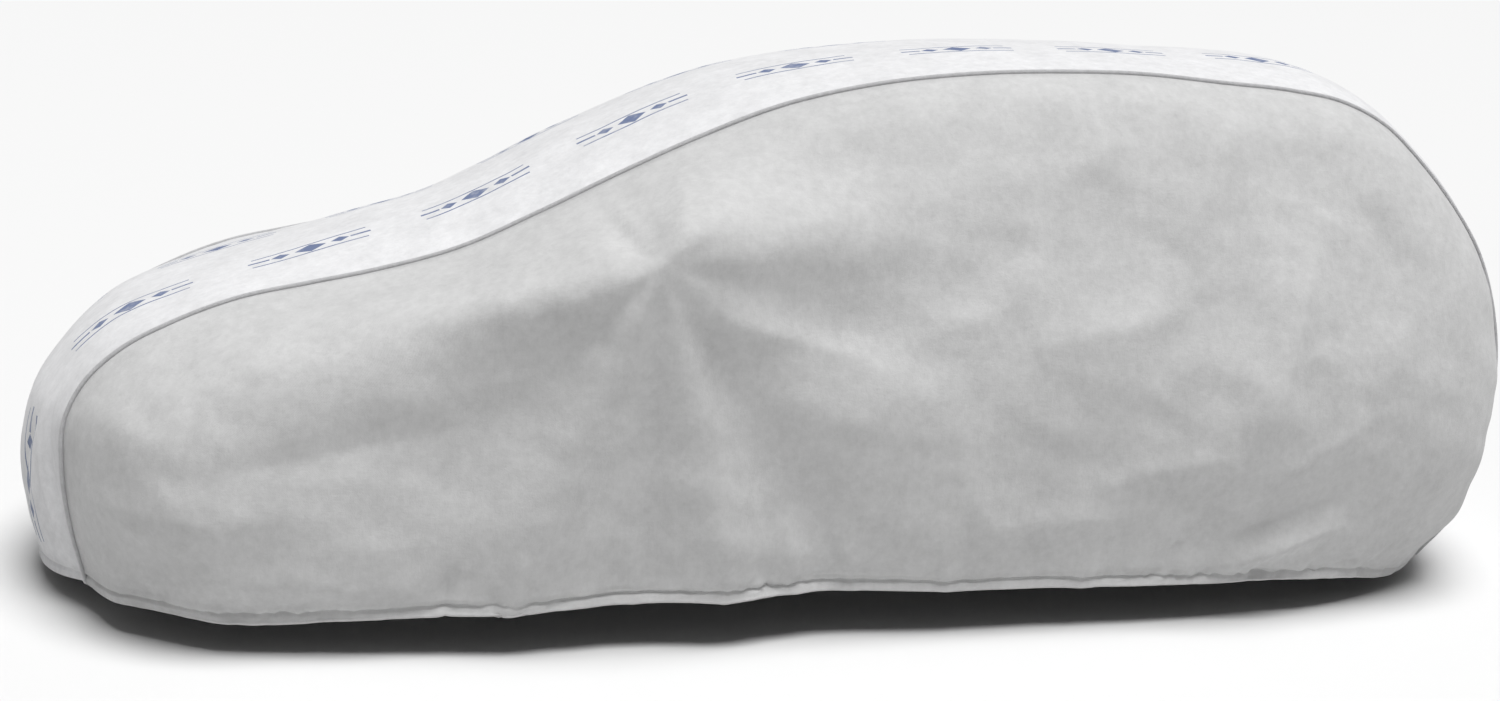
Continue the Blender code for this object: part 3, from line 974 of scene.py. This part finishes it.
def grid_mesh(name, points, tape):
    """Make a mesh from a grid of points; tape is each point's place on the flat cloth."""
    rows, columns = points.shape[:2]
    index = np.arange(rows * columns).reshape(rows, columns)
    corners = (index[:-1, :-1], index[:-1, 1:], index[1:, 1:], index[1:, :-1])
    mesh = bpy.data.meshes.new(name)
    mesh.from_pydata(points.reshape(-1, 3), [], np.stack(corners, axis=-1).reshape(-1, 4).tolist())
    loops = np.empty(len(mesh.loops), np.int32)
    mesh.loops.foreach_get("vertex_index", loops)
    places = mesh.uv_layers.new(name=TAPE_MAP)
    places.data.foreach_set("uv", tape.reshape(-1, 2)[loops].astype(np.float32).ravel())
    mesh.shade_smooth()
    return mesh


def add_cloth(name, points, tape, finish, thickness, node):
    """Make one cloth panel, give it its thickness and put it on the frame."""
    panel = made_object(name, grid_mesh(name, points, tape), finish)
    body = panel.modifiers.new("thickness", "SOLIDIFY")
    body.thickness = thickness
    body.offset = 0.0
    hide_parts(node)
    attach(panel, BODY)
    return panel


def line_across(grid, tape, height):
    """Read a grid's vectors along the line at one height up the flat cloth."""
    columns = range(grid.shape[1])
    return np.array(
        [[np.interp(height, tape[:, c, 1], grid[:, c, k]) for k in range(3)] for c in columns]
    )


def add_stitches(name, points, tape, heights, finish):
    """Sew a run of stitches across a grid at each of the heights, as one mesh."""
    normals = grid_normals(points)
    corners = []
    for height in heights:
        line = line_across(points, tape, height)
        places = tape_lengths(line)
        middles = np.arange(STITCH_PITCH / 2, places[-1], STITCH_PITCH)
        middle = smooth(places, line, middles)
        upward = smooth(places, line_across(normals, tape, height), middles)
        upward /= np.linalg.norm(upward, axis=-1, keepdims=True)
        run = np.gradient(middle, axis=0)
        run /= np.linalg.norm(run, axis=-1, keepdims=True)
        aside = np.cross(upward, run)
        middle = middle + upward * STITCH_LIFT
        for arm, reach in ((run, STITCH_LENGTH), (aside, STITCH_WIDTH), (upward, STITCH_WIDTH)):
            corners += [middle - arm * reach / 2, middle + arm * reach / 2]
    blocks = [np.stack(corners[i:i + 6], axis=1) for i in range(0, len(corners), 6)]
    vertices = np.concatenate(blocks).reshape(-1, 3)
    firsts = np.arange(0, len(vertices), 6)
    faces = (firsts[:, None, None] + np.array(STITCH_FACES)).reshape(-1, 3)
    mesh = bpy.data.meshes.new(name)
    mesh.from_pydata(vertices, [], faces.tolist())
    mesh.shade_smooth()
    stitches = made_object(name, mesh, finish)
    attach(stitches, BODY)
    return stitches


def tube_points(line, radius, sides):
    """Return a grid of points round a line, with the places on its flat wrapping."""
    run = np.gradient(line, axis=0)
    run /= np.linalg.norm(run, axis=-1, keepdims=True)
    across = np.cross(run, (0.0, 1.0, 0.0))
    across /= np.linalg.norm(across, axis=-1, keepdims=True)
    upward = np.cross(across, run)
    turn = np.linspace(0, 2 * np.pi, sides + 1)
    ring = np.cos(turn)[:, None, None] * across + np.sin(turn)[:, None, None] * upward
    points = np.moveaxis(line + radius * ring, 0, 1)
    around, along = np.meshgrid(turn * radius, tape_lengths(line), indexing="xy")
    return points, np.stack([around, along], axis=-1)


def add_piping(name, side, node, finish):
    """Make the piping of one seam."""
    along = np.arange(0, SEAM_LENGTH, PIPING_STEP)
    along = along / along[-1] * SEAM_LENGTH
    plane = seam_point(along) + PIPING_PROUD * outward(seam_tangent(along))
    half_width = section(along)[0] + PIPING_PROUD
    line = np.stack([plane[:, 0], side * half_width, plane[:, 1]], axis=-1)
    points, tape = tube_points(line, PIPING_RADIUS, PIPING_SIDES)
    piping = made_object(name, grid_mesh(name, points, tape), finish)
    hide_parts(node)
    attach(piping, BODY)


class CoverCloth(bpy.types.PropertyGroup):
    """Sizes of the cloth."""

    thickness: FloatProperty(
        name="Thickness", description="Thickness of the cloth", default=0.0015, unit="LENGTH"
    )
    step: FloatProperty(
        name="Grid step", description="Length of one face of a panel", default=0.012, unit="LENGTH"
    )
    crumple: FloatProperty(
        name="Crumple height",
        description="Height of the soft crumples",
        default=0.007,
        unit="LENGTH",
    )
    hem_band: FloatProperty(
        name="Hem band",
        description="Distance from edge to stitch line",
        default=0.021,
        unit="LENGTH",
    )
    hem_roll: FloatProperty(
        name="Hem roll", description="Radius of the turned edge", default=0.0035, unit="LENGTH"
    )


class CoverColours(bpy.types.PropertyGroup):
    """Colours of the cover."""

    strip: FloatVectorProperty(
        name="Strip", description="Cloth of the strip", default=(0.68, 0.68, 0.69), subtype="COLOR"
    )
    side: FloatVectorProperty(
        name="Sides",
        description="Cloth of the side panels",
        default=(0.525, 0.525, 0.525),
        subtype="COLOR",
    )
    piping: FloatVectorProperty(
        name="Piping", description="Tape of the piping", default=(0.56, 0.56, 0.57), subtype="COLOR"
    )
    thread: FloatVectorProperty(
        name="Thread", description="Sewing thread", default=(0.42, 0.42, 0.42), subtype="COLOR"
    )
    ink: FloatVectorProperty(
        name="Print",
        description="Ink of the strip's pattern",
        default=(0.07, 0.11, 0.24),
        subtype="COLOR",
    )


class CoverStage(bpy.types.PropertyGroup):
    """Floor, lights and camera."""

    floor_colour: FloatVectorProperty(
        name="Floor", description="Colour of the floor", default=(0.70, 0.70, 0.70), subtype="COLOR"
    )
    floor_height: FloatProperty(
        name="Floor height", description="Height of the floor", default=-1.42, unit="LENGTH"
    )
    key: FloatProperty(name="Key light", description="Strength of the main light", default=3.8)
    fill: FloatProperty(name="Fill light", description="Strength of the even light", default=0.20)
    lens: FloatProperty(name="Lens", description="Focal length in millimetres", default=47.84)


class COVER_OT_side_panels(bpy.types.Operator):
    """Make both side panels with their folds and hems"""

    bl_idname = "cover.side_panels"
    bl_label = "Side panels"

    def execute(self, context):
        cloth = context.scene.cover_cloth
        finish = side_finish(context.scene.cover_colours)
        thread = thread_finish(context.scene.cover_colours)
        for name, folds, spokes, side in (
            ("side_panel_left", LEFT_FOLDS, LEFT_SPOKES, -1),
            ("side_panel_right", RIGHT_FOLDS, RIGHT_SPOKES, 1),
        ):
            points, tape = side_points(folds, spokes, side, cloth)
            panel = add_cloth(
                name + "_cloth", points, tape, finish, cloth.thickness, name
            )
            sewn = add_stitches(
                name + "_stitches", points, tape, [cloth.hem_band], thread
            )
        return {"FINISHED"}


class COVER_OT_strip(bpy.types.Operator):
    """Make the pale strip with its print and its two hems"""

    bl_idname = "cover.strip"
    bl_label = "Strip"

    def execute(self, context):
        cloth = context.scene.cover_cloth
        finish = strip_finish(context.scene.cover_colours)
        thread = thread_finish(context.scene.cover_colours)
        points, tape = strip_points(cloth)
        panel = add_cloth(
            "top_strip_cloth", points, tape, finish, cloth.thickness, "top_panel"
        )
        heights = [cloth.hem_band, SEAM_LENGTH - cloth.hem_band]
        sewn = add_stitches(
            "top_strip_stitches", points, tape, heights, thread
        )
        return {"FINISHED"}


class COVER_OT_piping(bpy.types.Operator):
    """Make the piping in both seams"""

    bl_idname = "cover.piping"
    bl_label = "Piping"

    def execute(self, context):
        finish = piping_finish(context.scene.cover_colours)
        add_piping("piping_left", -1, "seam_piping_left", finish)
        add_piping("piping_right", 1, "seam_piping_right", finish)
        return {"FINISHED"}


class COVER_OT_stage(bpy.types.Operator):
    """Make the floor, the lights and the camera"""

    bl_idname = "cover.stage"
    bl_label = "Stage"

    def execute(self, context):
        stage = context.scene.cover_stage
        bpy.ops.mesh.primitive_plane_add(size=FLOOR_SIZE, location=(0, 0, stage.floor_height))
        floor = context.object
        floor.name = "studio_floor"
        shader = Shader("floor_finish")
        floor.data.materials.append(
            shader.finish(Base_Color=opaque(stage.floor_colour), Roughness=0.9)
        )
        world = bpy.data.worlds.new("studio")
        world.use_nodes = True
        background = world.node_tree.nodes["Background"]
        background.inputs["Color"].default_value = (1, 1, 1, 1)
        background.inputs["Strength"].default_value = stage.fill
        context.scene.world = world
        add_sun("key", KEY_SOURCE, stage.key, KEY_SPREAD)
        context.scene.view_settings.view_transform = "Standard"
        data = bpy.data.cameras.new("camera")
        data.lens = stage.lens
        data.clip_end = FLOOR_SIZE
        camera = bpy.data.objects.new("camera", data)
        yaw, pitch, roll = np.radians((CAMERA_YAW, CAMERA_PITCH, CAMERA_ROLL))
        ahead = Vector((np.sin(yaw) * np.cos(pitch), np.cos(yaw) * np.cos(pitch), -np.sin(pitch)))
        level = Vector((np.cos(yaw), -np.sin(yaw), 0))
        upright = level.cross(ahead)
        right = np.cos(roll) * level + np.sin(roll) * upright
        above = np.cos(roll) * upright - np.sin(roll) * level
        turn = Matrix((right, above, -ahead)).transposed()
        camera.matrix_world = Matrix.Translation(CAMERA_PLACE) @ turn.to_4x4()
        context.scene.collection.objects.link(camera)
        context.scene.camera = camera
        return {"FINISHED"}


def add_sun(name, source, strength, angle):
    """Add a soft sun that shines from the source's direction."""
    data = bpy.data.lights.new(name, "SUN")
    data.energy = strength
    data.angle = np.radians(angle)
    sun = bpy.data.objects.new(name, data)
    sun.rotation_mode = "QUATERNION"
    sun.rotation_quaternion = Vector(source).to_track_quat("Z", "Y")
    bpy.context.scene.collection.objects.link(sun)


class COVER_PT_sidebar(bpy.types.Panel):
    """Lists the cover's sizes, colours and steps"""

    bl_idname = "COVER_PT_sidebar"
    bl_label = "Car cover"
    bl_space_type = "VIEW_3D"
    bl_region_type = "UI"
    bl_category = "Car cover"

    def draw(self, context):
        scene = context.scene
        for group in (scene.cover_cloth, scene.cover_colours, scene.cover_stage):
            box = self.layout.box()
            for name in group.__annotations__:
                box.prop(group, name)
        for step in STEPS:
            self.layout.operator(step.bl_idname)


STEPS = (COVER_OT_side_panels, COVER_OT_strip, COVER_OT_piping, COVER_OT_stage)
CLASSES = (CoverCloth, CoverColours, CoverStage, *STEPS, COVER_PT_sidebar)


def register():
    """Register the classes and give the scene its settings."""
    for item in CLASSES:
        bpy.utils.register_class(item)
    bpy.types.Scene.cover_cloth = PointerProperty(type=CoverCloth)
    bpy.types.Scene.cover_colours = PointerProperty(type=CoverColours)
    bpy.types.Scene.cover_stage = PointerProperty(type=CoverStage)


def unregister():
    """Take the settings and the classes away again."""
    del bpy.types.Scene.cover_stage
    del bpy.types.Scene.cover_colours
    del bpy.types.Scene.cover_cloth
    for item in reversed(CLASSES):
        bpy.utils.unregister_class(item)


def main():
    """Run every step."""
    register()
    bpy.ops.cover.side_panels()
    bpy.ops.cover.strip()
    bpy.ops.cover.piping()
    bpy.ops.cover.stage()


if __name__ == "__main__":
    main()
